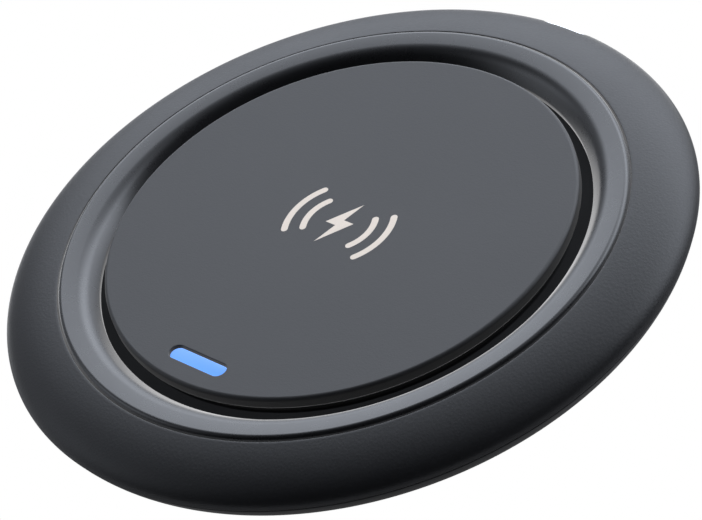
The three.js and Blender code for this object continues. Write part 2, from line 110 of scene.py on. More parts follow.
TONGUE_THICKNESS = 0.7
PARTING_GAP = 0.16
PARTING_ROUND = 0.15
LOCATING_WALL = 1.4
SOCKET_CLEARANCE = 0.3
PAST_THE_RIM = 60.0
OVERCUT = 1.0
FOOT_GROOVE_GAP = 0.12
FOOT_GROOVE_DEPTH_GAP = 0.1
FOOT_GROOVE_ROUND = 0.2
POCKET_CLEARANCE = 0.05
DECK_WINDOW_CLEARANCE = 0.2
PRINT_SUNK = 0.02
PRINT_PROUD = 0.015

# Two faces that meet at more than this angle, in degrees, keep a sharp edge.
SMOOTH_UP_TO = 32

# Facets along the turned curves and round a pill's end.
DOME_STEPS = 48
BOWL_STEPS = 40
LIP_STEPS = 20
UNDERSIDE_STEPS = 12
HIDDEN_STEPS = 16
PILL_STEPS = 16

# The studio's light, by the height of a direction: 0 is level and 1 is overhead.
SKY_BY_HEIGHT = (
    (0.0, 0.36), (0.14, 0.44), (0.36, 0.78), (0.5, 1.06), (0.63, 0.8),
    (0.72, 0.48), (0.8, 0.26), (0.88, 0.13), (0.95, 0.05), (1.0, 0.03),
)
SKY_STRENGTH = 4.4
SKY_LEAST = 0.03
SKY_TINT = (0.94, 1.0, 1.11, 1.0)
FLOOR_GLOW = 1.75

# Where the floor's glow starts and ends to fade, in millimetres from the pad's centre.
FLOOR_FADES = {"left": (-45, -80), "under": (36, 39), "near": (24, 14), "far": (52, 75)}


# ---- settings


class PadSizes(bpy.types.PropertyGroup):
    """Sizes of the fine detail that the CAD solids leave plain."""

    ring_steps: IntProperty(
        name="Ring steps", description="Facets round a turned piece", default=288, min=32
    )
    edge_steps: IntProperty(
        name="Edge steps", description="Facets across a rounded edge", default=6, min=2
    )
    seam_round: FloatProperty(
        name="Seam round", description="Radius of the casing's edge at the seam, in mm", default=0.1
    )
    dish_edge_round: FloatProperty(
        name="Dish edge round", description="Radius of the dish ring's outer edge, in mm", default=0.7
    )
    disc_edge_round: FloatProperty(
        name="Disc edge round", description="Radius of the disc's rim, in mm", default=0.55
    )
    window_edge_round: FloatProperty(
        name="Window edge round", description="Radius round the light window, in mm", default=0.12
    )
    window_recess: FloatProperty(
        name="Window recess", description="How far the light window sits below the disc, in mm", default=0.42
    )
    print_width: FloatProperty(
        name="Print width", description="Overall width of the printed mark, in mm", default=17.0
    )
    coil_turns: IntProperty(
        name="Coil turns", description="Turns of wire in the transmitter coil", default=12, min=1
    )


class PadColours(bpy.types.PropertyGroup):
    """Base colours of the finishes that show."""

    casing: FloatVectorProperty(
        name="Casing", description="Soft-touch casing", subtype="COLOR", default=(0.011, 0.011, 0.012)
    )
    dish: FloatVectorProperty(
        name="Dish ring", description="Satin dish ring", subtype="COLOR", default=(0.012, 0.012, 0.013)
    )
    disc: FloatVectorProperty(
        name="Disc", description="Phone disc", subtype="COLOR", default=(0.033, 0.033, 0.034)
    )
    window: FloatVectorProperty(
        name="Light window", description="Lit window", subtype="COLOR", default=(0.055, 0.27, 0.93)
    )
    ink: FloatVectorProperty(
        name="Ink", description="Printed mark", subtype="COLOR", default=(0.66, 0.57, 0.48)
    )


class StageSettings(bpy.types.PropertyGroup):
    """Camera, floor and studio light."""

    azimuth: FloatProperty(
        name="Azimuth", description="Camera direction round the pad", subtype="ANGLE",
        default=math.radians(55.3)
    )
    elevation: FloatProperty(
        name="Elevation", description="Camera height angle", subtype="ANGLE", default=math.radians(39.62)
    )
    roll: FloatProperty(
        name="Roll", description="Camera roll", subtype="ANGLE", default=math.radians(20.5)
    )
    distance: FloatProperty(
        name="Distance", description="Camera to pad", unit="LENGTH", default=0.6
    )
    lens: FloatProperty(
        name="Lens", description="Focal length in mm on a 36 mm sensor", default=220.8
    )
    aim_right: FloatProperty(
        name="Aim right", description="Sideways offset of the view's centre", unit="LENGTH", default=0.00031
    )
    aim_up: FloatProperty(
        name="Aim up", description="Upward offset of the view's centre", unit="LENGTH", default=-0.0015
    )
    floor_colour: FloatVectorProperty(
        name="Floor", description="Floor colour", subtype="COLOR", default=(0.86, 0.86, 0.87)
    )


# ---- shader expressions


class Value:
    """One shader socket, with arithmetic that adds Math nodes."""

    def __init__(self, shader, socket):
        self.shader = shader
        self.socket = socket

    def _math(self, operation, first, second):
        return self.shader.node("ShaderNodeMath", {"operation": operation}, {0: first, 1: second})

    def __add__(self, other):
        return self._math("ADD", self, other)

    def __sub__(self, other):
        return self._math("SUBTRACT", self, other)

    def __mul__(self, other):
        return self._math("MULTIPLY", self, other)

    def __truediv__(self, other):
        return self._math("DIVIDE", self, other)

    def __pow__(self, other):
        return self._math("POWER", self, other)

    def larger(self, other):
        return self._math("MAXIMUM", self, other)


class Shader:
    """A node tree under construction. node() adds any node and gives its output as a Value."""

    def __init__(self, tree):
        self.tree = tree

    def socket(self, sockets, key):
        if isinstance(key, int):
            return sockets[key]
        for socket in sockets:
            if socket.identifier == key:
                return socket
        return sockets[key]

    def node(self, kind, settings=None, inputs=None, output=0):
        made = self.tree.nodes.new(kind)
        for key, setting in (settings or {}).items():
            if key == "stops":
                self.set_stops(made.color_ramp, setting)
            else:
                setattr(made, key, setting)
        for key, given in (inputs or {}).items():
            target = self.socket(made.inputs, key)
            if isinstance(given, Value):
                self.tree.links.new(given.socket, target)
            else:
                target.default_value = given
        return Value(self, self.socket(made.outputs, output)) if made.outputs else made

    def set_stops(self, ramp, stops):
        while len(ramp.elements) < len(stops):
            ramp.elements.new(1.0)
        for element, (position, level) in zip(ramp.elements, stops):
            element.position = position
            element.color = (level, level, level, 1.0)

    def mix(self, factor, first, second):
        inputs = {"Factor_Float": factor, "A_Color": first, "B_Color": second}
        return self.node("ShaderNodeMix", {"data_type": "RGBA"}, inputs, "Result_Color")

    def dot(self, vector, direction):
        inputs = {0: vector, 1: direction}
        return self.node("ShaderNodeVectorMath", {"operation": "DOT_PRODUCT"}, inputs, "Value")

    def smoothstep(self, value, low, high, to_low=0.0, to_high=1.0):
        inputs = {"Value": value, "From Min": low, "From Max": high, "To Min": to_low, "To Max": to_high}
        return self.node("ShaderNodeMapRange", {"interpolation_type": "SMOOTHSTEP"}, inputs)

    def place(self):
        return self.node("ShaderNodeTexCoord", output="Object")

    def mapped(self, **inputs):
        """The object's own coordinates, moved or stretched."""
        inputs["Vector"] = self.place()
        return self.node("ShaderNodeMapping", {"vector_type": "POINT"}, inputs)

    def fade(self, distance, span):
        """0 to 1 between two distances in millimetres."""
        return self.smoothstep(distance, span[0] * MM, span[1] * MM)

    def shown_to_camera(self, lit, shown):
        """One shader for the light that the scene gets, another for what the camera sees."""
        seen = self.node("ShaderNodeLightPath", output="Is Camera Ray")
        return self.node("ShaderNodeMixShader", None, {0: seen, 1: lit, 2: shown})

    def noise(self, size_mm, detail=2.0, roughness=0.5, place=None):
        inputs = {"Scale": 1.0 / (size_mm * MM), "Detail": detail, "Roughness": roughness}
        inputs["Vector"] = place or self.place()
        return self.node("ShaderNodeTexNoise", None, inputs, "Fac")

    def cells(self, size_mm):
        inputs = {"Vector": self.place(), "Scale": 1.0 / (size_mm * MM)}
        return self.node("ShaderNodeTexVoronoi", {"feature": "F1"}, inputs, "Distance")

    def bump(self, height, depth_mm):
        inputs = {"Height": height, "Distance": depth_mm * MM}
        return self.node("ShaderNodeBump", None, inputs, "Normal")


def rgba(colour, scale=1.0):
    return (colour[0] * scale, colour[1] * scale, colour[2] * scale, 1.0)


class Finish(Shader):
    """A material with one Principled shader. Fixed numbers are set on the shader's own sockets."""

    def __init__(self, name, **fixed):
        self.material = bpy.data.materials.new(name)
        self.material.use_nodes = True
        super().__init__(self.material.node_tree)
        self.shader = self.tree.nodes["Principled BSDF"]
        for key, number in fixed.items():
            self.shader.inputs[key.replace("_", " ")].default_value = number

    def surface(self, base, gloss, height, depth_mm, **links):
        """Links the colour, the roughness and a bump of the depth given, and gives the material."""
        return self.wire(Base_Color=base, Roughness=gloss, Normal=self.bump(height, depth_mm), **links)

    def wire(self, **links):
        for key, value in links.items():
            self.tree.links.new(value.socket, self.shader.inputs[key.replace("_", " ")])
        return self.material


def moulded(name, colour, roughness, grain_mm, grain_depth_mm, cloud=0.12, **fixed):
    """A moulded or painted finish: cloudy colour, uneven gloss and a fine grain in the surface."""
    finish = Finish(name, **fixed)
    slow = finish.noise(9.0, detail=3.0)
    grain = finish.noise(grain_mm, detail=3.0, roughness=0.65)
    shade = slow * 0.5 + grain * 0.5
    base = finish.mix(shade, rgba(colour, 1.0 - cloud), rgba(colour, 1.0 + cloud))
    gloss = (slow - 0.5) * 0.08 + (grain - 0.5) * 0.10 + roughness
    return finish.surface(base, gloss, grain, grain_depth_mm)


def soft_touch(colour):
    """Rubbery paint over plastic, with a dry, pebbled grain."""
    finish = Finish("soft_touch", Specular_IOR_Level=0.32)
    slow = finish.noise(14.0, detail=3.0)
    grain = finish.noise(0.34, detail=4.0, roughness=0.7)
    pebble = finish.cells(0.42)
    speck = finish.smoothstep(grain, 0.56, 0.72)
    shade = slow * 0.35 + grain * 0.65
    base = finish.mix(shade, rgba(colour, 0.72), rgba(colour, 1.3))
    base = finish.mix(speck * 0.35, base, rgba(colour, 2.2))
    gloss = (slow - 0.5) * 0.06 + (grain - 0.5) * 0.16 + 0.42
    return finish.surface(base, gloss, grain * 0.6 + pebble * 0.4, 0.022)


def satin_plastic(colour):
    """Polished moulding: almost mirror smooth, with a faint orange peel and hairlines of handling."""
    finish = Finish("satin_plastic", Specular_IOR_Level=0.5)
    peel = finish.noise(2.6, detail=2.0)
    fine = finish.noise(0.5, detail=2.0)
    base = finish.mix(peel, rgba(colour, 0.9), rgba(colour, 1.1))
    gloss = (peel - 0.5) * 0.05 + (fine - 0.5) * 0.03 + 0.28
    return finish.surface(base, gloss, peel * 0.8 + fine * 0.2, 0.004)


def disc_face(colour):
    """Matte disc with an even, very fine spark-eroded texture, and painted shade that darkens its wall."""
    finish = Finish("disc_face", Specular_IOR_Level=0.4)
    slow = finish.noise(16.0, detail=2.0)
    grain = finish.noise(0.3, detail=3.0, roughness=0.6)
    shade = slow * 0.25 + grain * 0.75
    base = finish.mix(shade, rgba(colour, 0.8), rgba(colour, 1.2))
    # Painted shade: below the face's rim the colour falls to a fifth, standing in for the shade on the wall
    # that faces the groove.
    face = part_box("centre_disc")[1].z
    height = finish.dot(finish.place(), UP)
    wall = finish.smoothstep(height, face - 0.2 * MM, face - 0.5 * MM)
    base = finish.mix(wall, base, rgba(colour, 0.2))
    gloss = (slow - 0.5) * 0.04 + (grain - 0.5) * 0.12 + 0.55
    return finish.surface(base, gloss, grain, 0.014)


def light_window(colour):
    """Frosted blue window, lit from below: even in the middle and a little paler at its rim."""
    finish = Finish("light_window", Emission_Strength=1.0, Specular_IOR_Level=0.5)
    low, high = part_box("light_guide")
    centre = (low + high) / 2
    across = finish.dot(finish.mapped(Location=-centre), (0.0, 1.0, 0.0))
    half = (high.y - low.y) / 2
    edge = (across / half) ** 2.0
    frost = finish.noise(0.35, detail=2.0)
    glow = finish.mix(edge * 0.45 + frost * 0.1, rgba(colour), (0.12, 0.4, 1.0, 1.0))
    base = finish.mix(frost, rgba(colour, 0.1), rgba(colour, 0.2))
    gloss = (frost - 0.5) * 0.2 + 0.35
    return finish.surface(base, gloss, frost, 0.006, Emission_Color=glow)


def printed_ink(colour):
    """Pad-printed ink: slightly metallic, with pinholes too small to see one by one."""
    finish = Finish("printed_ink", Metallic=0.25)
    grain = finish.noise(0.16, detail=3.0, roughness=0.7)
    base = finish.mix(grain, rgba(colour, 0.86), rgba(colour, 1.12))
    gloss = (grain - 0.5) * 0.2 + 0.48
    return finish.surface(base, gloss, grain, 0.004)


def plated_metal(name, colour, roughness):
    """Plated sheet or wire, with fine drawing marks along it."""
    finish = Finish(name, Metallic=1.0)
    marks = finish.noise(0.08, detail=3.0, place=finish.mapped(Scale=(1.0, 0.08, 1.0)))
    stain = finish.noise(1.8, detail=2.0)
    base = finish.mix(stain * 0.6 + marks * 0.4, rgba(colour, 0.82), rgba(colour, 1.1))
    gloss = (marks - 0.5) * 0.22 + (stain - 0.5) * 0.08 + roughness
    return finish.surface(base, gloss, marks, 0.0015)


def board_laminate():
    """Green solder resist over copper tracks, with bare tinned pads."""
    finish = Finish("board_laminate", Specular_IOR_Level=0.5)
    settings = {"wave_type": "RINGS", "rings_direction": "Z", "wave_profile": "SAW"}
    inputs = {"Vector": finish.place(), "Scale": 190.0, "Distortion": 0.0}
    rings = finish.node("ShaderNodeTexWave", settings, inputs, "Fac")
    tracks = finish.smoothstep(rings, 0.42, 0.5)
    pads = finish.smoothstep(finish.cells(1.9), 0.16, 0.12)
    resist = finish.mix(tracks, (0.008, 0.075, 0.028, 1.0), (0.02, 0.15, 0.055, 1.0))
    base = finish.mix(pads, resist, (0.75, 0.73, 0.68, 1.0))
    gloss = finish.noise(0.6) * 0.12 + 0.28
    return finish.surface(base, gloss, tracks + pads, 0.02)


def wire_lacquer():
    """Enamelled copper strands: a bright, banded lacquer."""
    finish = Finish("copper_wire", Metallic=0.85)
    strand = finish.noise(0.12, detail=2.0)
    slow = finish.noise(3.0)
    base = finish.mix(strand * 0.7 + slow * 0.3, (0.42, 0.17, 0.06, 1.0), (0.86, 0.46, 0.24, 1.0))
    gloss = strand * 0.2 + 0.26
    return finish.surface(base, gloss, strand, 0.01)


# Colour, roughness, grain size and grain depth in millimetres of the plain moulded finishes.
MOULDED = {
    "dark_moulding": ((0.003, 0.003, 0.003), 0.7, 0.3, 0.01),
    "black_foam": ((0.018, 0.018, 0.019), 0.95, 0.25, 0.12),
    "silicone": ((0.024, 0.024, 0.027), 0.62, 0.18, 0.012),
    "adhesive_film": ((0.62, 0.59, 0.5), 0.5, 0.6, 0.006),
    "ferrite": ((0.03, 0.03, 0.033), 0.5, 0.12, 0.01),
    "black_moulding": ((0.012, 0.012, 0.013), 0.5, 0.2, 0.008),
    "gap_filler": ((0.32, 0.38, 0.47), 0.85, 0.35, 0.02),
    "capacitor_body": ((0.42, 0.3, 0.17), 0.45, 0.15, 0.006),
    "led_body": ((0.8, 0.78, 0.7), 0.4, 0.2, 0.004),
}
MOULDED_EXTRAS = {
    "dark_moulding": {"Specular_IOR_Level": 0.08},
    "black_foam": {"cloud": 0.4},
    "ferrite": {"cloud": 0.3},
}


def make_finishes(colours):
    """Every finish by the name of its record slot, or of the detail that wears it."""
    made = {name: moulded(name, *row, **MOULDED_EXTRAS.get(name, {})) for name, row in MOULDED.items()}
    made["soft_touch"] = soft_touch(colours.casing)
    made["satin_plastic"] = satin_plastic(colours.dish)
    made["disc_face"] = disc_face(colours.disc)
    made["light_window"] = light_window(colours.window)
    made["printed_ink"] = printed_ink(colours.ink)
    made["steel"] = plated_metal("steel", (0.62, 0.63, 0.65), 0.28)
    made["gold"] = plated_metal("gold", (0.94, 0.70, 0.32), 0.22)
    made["copper_wire"] = wire_lacquer()
    made["board_laminate"] = board_laminate()
    return made


FINISHES = {}


# ---- mesh helpers


def arc(centre_r, centre_z, radius_r, radius_z, start, stop, steps):
    """Points (r, z) along an elliptical arc between two angles."""
    points = []
    for i in range(steps + 1):
        angle = start + (stop - start) * i / steps
        points.append((centre_r + radius_r * math.cos(angle), centre_z + radius_z * math.sin(angle)))
    return points


def bend(centre_r, centre_z, radius, quarter, steps):
    """A quarter circle, anticlockwise: 0 starts level and outward, 1 at the top, and so on."""
    return arc(centre_r, centre_z, radius, radius, quarter * QUARTER, (quarter + 1) * QUARTER, steps)


def new_object(name, mesh, finish):
    """An object of the mesh in one of the finishes, given by its name."""
    piece = bpy.data.objects.new(name, mesh)
    bpy.context.scene.collection.objects.link(piece)
    mesh.materials.append(FINISHES[finish])
    return piece


def smooth(mesh, degrees=SMOOTH_UP_TO):
    mesh.polygons.foreach_set("use_smooth", [True] * len(mesh.polygons))
    mesh.set_sharp_from_angle(angle=math.radians(degrees))
    mesh.update()


def from_bmesh(name, bm, finish, degrees=0):
    """An object made of the bmesh, its normals outward, and shaded smooth up to the angle given."""
    bmesh.ops.recalc_face_normals(bm, faces=bm.faces)
    mesh = bpy.data.meshes.new(name)
    bm.to_mesh(mesh)
    bm.free()
    if degrees:
        smooth(mesh, degrees)
    return new_object(name, mesh, finish)


def turned(name, outline, finish, steps, closed=True):
    """A mesh turned about Z from an (r, z) outline in millimetres; points on the axis become poles."""
    bm = bmesh.new()
    loops = []
    for r, z in outline:
        if r == 0:
            loops.append([bm.verts.new((0.0, 0.0, z * MM))])
            continue
        loop = []
        for i in range(steps):
            angle = 2 * math.pi * i / steps
            loop.append(bm.verts.new((r * MM * math.cos(angle), r * MM * math.sin(angle), z * MM)))
        loops.append(loop)
    pairs = list(zip(loops, loops[1:]))
    if closed:
        pairs.append((loops[-1], loops[0]))
    for first, second in pairs:
        for i in range(steps):
            j = (i + 1) % steps
            corners = [first[i % len(first)], first[j % len(first)]]
            corners += [second[j % len(second)], second[i % len(second)]]
            unique = list(dict.fromkeys(corners))
            if len(unique) > 2:
                bm.faces.new(unique)
    return from_bmesh(name, bm, finish, SMOOTH_UP_TO)


def pill_outline(length, width, steps):
    """A pill's outline in X and Y, anticlockwise, its long axis along X."""
    half = length / 2 - width / 2
    right = arc(half, 0.0, width / 2, width / 2, -QUARTER, QUARTER, steps)
    left = arc(-half, 0.0, width / 2, width / 2, QUARTER, 3 * QUARTER, steps)
    return right + left


def box_outline(length, width, corner, steps):
    """A rectangle's outline with rounded corners, anticlockwise."""
    points = []
    for index, (sx, sy) in enumerate(((1, -1), (1, 1), (-1, 1), (-1, -1))):
        start = (index - 1) * QUARTER
        x = sx * (length / 2 - corner)
        y = sy * (width / 2 - corner)
        points += arc(x, y, corner, corner, start, start + QUARTER, steps)
    return points


def lofted(name, rings, finish, degrees=SMOOTH_UP_TO):
    """A closed mesh through rings of equal length, each a list of 3-D points in mm, capped at both ends."""
    bm = bmesh.new()
    loops = [[bm.verts.new(Vector(p) * MM) for p in ring] for ring in rings]
    count = len(loops[0])
    for first, second in zip(loops, loops[1:]):
        for i in range(count):
            j = (i + 1) % count
            bm.faces.new((first[i], first[j], second[j], second[i]))
    bm.faces.new(loops[0])
    bm.faces.new(loops[-1])
    return from_bmesh(name, bm, finish, degrees)


def at_height(outline, z):
    return [(x, y, z) for x, y in outline]


def along_y(outline, y, centre_z):
    """An outline drawn in X and Z, standing at one place along Y."""
    return [(x, y, centre_z + z) for x, z in outline]


def moved(outline, dx, dy):
    return [(x + dx, y + dy) for x, y in outline]


def baked(piece):
    """The same object with its modifiers applied to its mesh."""
    depsgraph = bpy.context.evaluated_depsgraph_get()
    mesh = bpy.data.meshes.new_from_object(piece.evaluated_get(depsgraph), depsgraph=depsgraph)
    old = piece.data
    material = old.materials[0]
    piece.modifiers.clear()
    piece.data = mesh
    bpy.data.meshes.remove(old)
    mesh.materials.clear()
    mesh.materials.append(material)
    mesh.name = piece.name
    return piece


def discard(piece):
    mesh = piece.data
    bpy.data.objects.remove(piece)
    bpy.data.meshes.remove(mesh)


def combine(piece, other, operation):
    """Adds a boolean modifier, to be baked later."""
    modifier = piece.modifiers.new("combine", "BOOLEAN")
    modifier.operation = operation
    modifier.solver = "EXACT"
    modifier.object = other


def cut_by(piece, *cutters):
    """Cuts the cutters out of the piece and removes them."""
    for cutter in cutters:
        combine(piece, cutter, "DIFFERENCE")
    baked(piece)
    for cutter in cutters:
        discard(cutter)
    smooth(piece.data)
    weighted = piece.modifiers.new("flat faces", "WEIGHTED_NORMAL")
    weighted.keep_sharp = True
    weighted.weight = 100
    return baked(piece)


def box_mm(node):
    """A CAD node's lowest and highest corners in millimetres."""
    low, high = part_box(node)
    return low / MM, high / MM


def settle(piece, slot, *nodes):
    """Fixes the piece to the pad, in place of the CAD nodes named."""
    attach(piece, ROOT)
    if nodes:
        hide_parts(*nodes)
    return piece


# ---- casing


def socket_cutter():
    """The opening for the supply socket, through both halves of the casing."""
    low, high = box_mm("usb_shell")
    length = high.x - low.x + 2 * SOCKET_CLEARANCE
    width = high.z - low.z + 2 * SOCKET_CLEARANCE
    centre = (low.z + high.z) / 2
    outline = pill_outline(length, width, PILL_STEPS)
    rings = [along_y(outline, y, centre) for y in (low.y - SOCKET_CLEARANCE, PAST_THE_RIM)]
    return lofted("socket_cutter", rings, "dark_moulding")


class PAD_OT_casing(bpy.types.Operator):
    """Domed upper casing ring and the lower casing shell"""

    bl_idname = "pad.casing"
    bl_label = "Casing"

    def execute(self, context):
        sizes = context.scene.pad_sizes
        self.outer_ring(sizes)
        self.base_shell(sizes)
        return {"FINISHED"}

    def outer_ring(self, sizes):
        outer = box_mm("outer_ring")[1].x
        parting = box_mm("base_shell")[1].z + PARTING_GAP
        wall = SEAM_WALL_RADIUS
        edge = sizes.seam_round
        steps = sizes.edge_steps
        spring = parting + PARTING_ROUND
        wide = outer - DOME_CENTRE_RADIUS
        end = math.acos((wall + edge - DOME_CENTRE_RADIUS) / wide)
        tall = (SEAM_Z - spring) / math.sin(end)
        dome = arc(DOME_CENTRE_RADIUS, spring, wide, tall, 0.0, end, DOME_STEPS)
        seam = bend(wall + edge, SEAM_Z - edge, edge, 1, steps)
        foot = bend(outer - PARTING_ROUND, spring, PARTING_ROUND, -1, steps)
        locating = wall + LOCATING_WALL
        inner_wide = outer - RING_WALL - locating
        inner_tall = SEAM_Z - parting - RING_WALL
        inner = arc(locating, parting, inner_wide, inner_tall, QUARTER, 0.0, HIDDEN_STEPS)
        outline = [(LEDGE_INNER_RADIUS, LEDGE_BOTTOM_Z), (locating, LEDGE_BOTTOM_Z)]
        outline += inner + foot + dome[1:] + seam[1:]
        outline += [(wall, LEDGE_TOP_Z), (LEDGE_INNER_RADIUS, LEDGE_TOP_Z)]
        ring = turned("outer_ring_shell", outline, "soft_touch", sizes.ring_steps)
        settle(cut_by(ring, socket_cutter()), "soft_touch", "outer_ring")

    def base_shell(self, sizes):
        low, high = box_mm("base_shell")
        foot_high = box_mm("foot_ring")[1]
        edge = PARTING_ROUND
        steps = sizes.edge_steps
        tall = BOWL_CENTRE_Z - low.z
        end = -math.asin((BOWL_CENTRE_Z - high.z + edge) / tall)
        bowl_wide = (high.x - BOWL_CENTRE_RADIUS) / math.cos(end)
        bowl = arc(BOWL_CENTRE_RADIUS, BOWL_CENTRE_Z, bowl_wide, tall, -QUARTER, end, BOWL_STEPS)
        lip = bend(high.x - edge, high.z - edge, edge, 0, steps)
        inner_wide = high.x - UNDERSIDE_RADIUS - RING_WALL
        inner_tall = high.z - FLOOR_TOP_Z
        inner = arc(UNDERSIDE_RADIUS, high.z, inner_wide, inner_tall, 0.0, -QUARTER, UNDERSIDE_STEPS)
        groove_z = foot_high.z + FOOT_GROOVE_DEPTH_GAP
        groove_out = foot_high.x + FOOT_GROOVE_GAP
        groove_in = FOOT_INNER_RADIUS - FOOT_GROOVE_GAP
        soft = FOOT_GROOVE_ROUND
        round_out = bend(groove_out + soft, low.z + soft, soft, 2, steps)
        round_in = bend(groove_in - soft, low.z + soft, soft, -1, steps)
        outline = [(0.0, low.z)] + round_in + [(groove_in, groove_z), (groove_out, groove_z)]
        outline += round_out + bowl[1:] + lip[1:] + inner + [(0.0, FLOOR_TOP_Z)]
        shell = turned("base_casing", outline, "soft_touch", sizes.ring_steps, closed=False)
        settle(cut_by(shell, socket_cutter()), "soft_touch", "base_shell")


class PAD_OT_foot_ring(bpy.types.Operator):
    """Silicone foot ring with two shallow grip grooves"""

    bl_idname = "pad.foot_ring"
    bl_label = "Foot ring"

    def execute(self, context):
        sizes = context.scene.pad_sizes
        low, high = box_mm("foot_ring")
        edge = 0.22
        groove = 0.25
        groove_deep = 0.175
        groove_inset = 1.35
        inner = FOOT_INNER_RADIUS
        steps = sizes.edge_steps
        outline = bend(inner + edge, low.z + edge, edge, 2, steps)
        for centre in (inner + groove_inset, high.x - groove_inset):
            outline += arc(centre, low.z, groove, groove_deep, 2 * QUARTER, 0.0, steps)
        outline += bend(high.x - edge, low.z + edge, edge, -1, steps)
        outline += [(high.x, high.z), (inner, high.z)]
        ring = turned("foot_ring_grip", outline, "silicone", sizes.ring_steps)
        settle(ring, "silicone", "foot_ring")
        return {"FINISHED"}


# ---- top pieces


class PAD_OT_dish_ring(bpy.types.Operator):
    """Satin ring that rolls over its lip into the groove, and the deck below it"""

    bl_idname = "pad.dish_ring"
    bl_label = "Dish ring and deck"

    def execute(self, context):
        sizes = context.scene.pad_sizes
        self.dish(sizes)
        self.deck(sizes)
        return {"FINISHED"}

    def dish(self, sizes):
        low = box_mm("dish_ring")[0]
        steps = sizes.edge_steps
        edge = sizes.dish_edge_round
        level = math.tan(LEVEL_SLOPE)
        steep = math.tan(STEEP_SLOPE)
        shoulder_r = DISH_OUTER_RADIUS - edge
        drop = DISH_TOP_Z - DISH_INNER_Z
        corner_r = (drop + steep * DISH_INNER_RADIUS - level * shoulder_r) / (steep - level)
        corner_z = DISH_INNER_Z + (corner_r - DISH_INNER_RADIUS) * steep
        setback = LIP_ROUND * math.tan((STEEP_SLOPE - LEVEL_SLOPE) / 2)
        lip_r = corner_r + setback * math.cos(LEVEL_SLOPE) + LIP_ROUND * math.sin(LEVEL_SLOPE)
        lip_z = corner_z + setback * math.sin(LEVEL_SLOPE) - LIP_ROUND * math.cos(LEVEL_SLOPE)
        start = QUARTER + LEVEL_SLOPE
        lip = arc(lip_r, lip_z, LIP_ROUND, LIP_ROUND, start, QUARTER + STEEP_SLOPE, LIP_STEPS)
        shoulder = arc(shoulder_r, DISH_TOP_Z - edge, edge, edge, 0.0, start, steps * 2)
        under = DISH_TOP_Z - DISH_WALL
        hollow = DISH_INNER_RADIUS + DISH_WALL
        skirt = DISH_OUTER_RADIUS - DISH_WALL
        step = 0.3
        nose = 0.08
        outline = [(DISH_INNER_RADIUS, low.z), (hollow, low.z), (hollow, low.z + step)]
        outline += [(corner_r, under), (skirt, under), (skirt, low.z)]
        outline += [(DISH_OUTER_RADIUS, low.z)] + shoulder + lip
        outline += [(DISH_INNER_RADIUS + nose, DISH_INNER_Z + nose * steep)]
        outline += [(DISH_INNER_RADIUS, DISH_INNER_Z - nose)]
        ring = turned("dish_ring_satin", outline, "satin_plastic", sizes.ring_steps)
        settle(ring, "satin_plastic", "dish_ring")

    def deck(self, sizes):
        low, high = box_mm("top_deck")
        under = high.z - DECK_THICKNESS
        pocket = PEDESTAL_RADIUS - PEDESTAL_WALL
        soft = 0.3
        fillet_r, fillet_z = PEDESTAL_RADIUS + soft, GROOVE_FLOOR_Z + soft
        outline = [(0.0, under), (pocket, under), (pocket, low.z), (high.x, low.z)]
        outline += [(high.x, GROOVE_FLOOR_Z)]
        outline += bend(fillet_r, fillet_z, soft, 2, 4)[::-1]
        outline += [(PEDESTAL_RADIUS, high.z), (0.0, high.z)]
        deck = turned("groove_deck", outline, "dark_moulding", sizes.ring_steps, closed=False)
        opening = window_outline(DECK_WINDOW_CLEARANCE)
        rings = [at_height(opening, z) for z in (low.z - OVERCUT, high.z + OVERCUT)]
        cutter = lofted("window_cutter", rings, "dark_moulding")
        settle(cut_by(deck, cutter), "dark_moulding", "top_deck")


def window_outline(grow=0.0):
    """The light window's outline in its place, grown by a margin in millimetres."""
    low, high = box_mm("light_guide")
    outline = pill_outline(high.x - low.x + 2 * grow, high.y - low.y + 2 * grow, PILL_STEPS)
    return moved(outline, (low.x + high.x) / 2, (low.y + high.y) / 2)


class PAD_OT_disc(bpy.types.Operator):
    """Phone disc with a rolled rim and a rounded pocket for the light window"""

    bl_idname = "pad.disc"
    bl_label = "Disc"

    def execute(self, context):
        sizes = context.scene.pad_sizes
        low, high = box_mm("centre_disc")
        edge = sizes.disc_edge_round
        soft = 0.25
        rim = bend(high.x - edge, high.z - edge, edge, 0, sizes.edge_steps * 2)
        under = bend(high.x - soft, low.z + soft, soft, -1, sizes.edge_steps)
        outline = [(0.0, low.z)] + under + rim + [(0.0, high.z)]
        disc = turned("phone_disc", outline, "disc_face", sizes.ring_steps, closed=False)
        settle(cut_by(disc, self.pocket(sizes, low.z, high.z)), "disc_face", "centre_disc")
        return {"FINISHED"}

    def pocket(self, sizes, low_z, high_z):
        """The pocket's cutter, flared in a quarter round where it meets the disc's face."""
        edge = sizes.window_edge_round
        rings = [at_height(window_outline(POCKET_CLEARANCE), low_z - OVERCUT)]
        for i in range(sizes.edge_steps + 1):
            angle = QUARTER * i / sizes.edge_steps
            outline = window_outline(POCKET_CLEARANCE + edge * (1 - math.cos(angle)))
            rings.append(at_height(outline, high_z - edge + edge * math.sin(angle)))
        rings.append(at_height(outline, high_z + OVERCUT))
        return lofted("pocket_cutter", rings, "disc_face")


class PAD_OT_light_window(bpy.types.Operator):
    """Frosted light window, softly crowned, below the disc's face"""

    bl_idname = "pad.light_window"
    bl_label = "Light window"

    def execute(self, context):
        sizes = context.scene.pad_sizes
        disc_top = box_mm("centre_disc")[1].z
        bottom = box_mm("light_guide")[0].z
        top = disc_top - sizes.window_recess
        edge = 0.18
        rings = [at_height(window_outline(), z) for z in (bottom, top - edge)]
        for i in range(1, sizes.edge_steps + 1):
            angle = QUARTER * i / sizes.edge_steps
            outline = window_outline(-edge * (1 - math.cos(angle)))
            rings.append(at_height(outline, top - edge + edge * math.sin(angle)))
        window = lofted("light_window_lens", rings, "light_window", degrees=50)
        settle(window, "light_window", "light_guide")
        return {"FINISHED"}


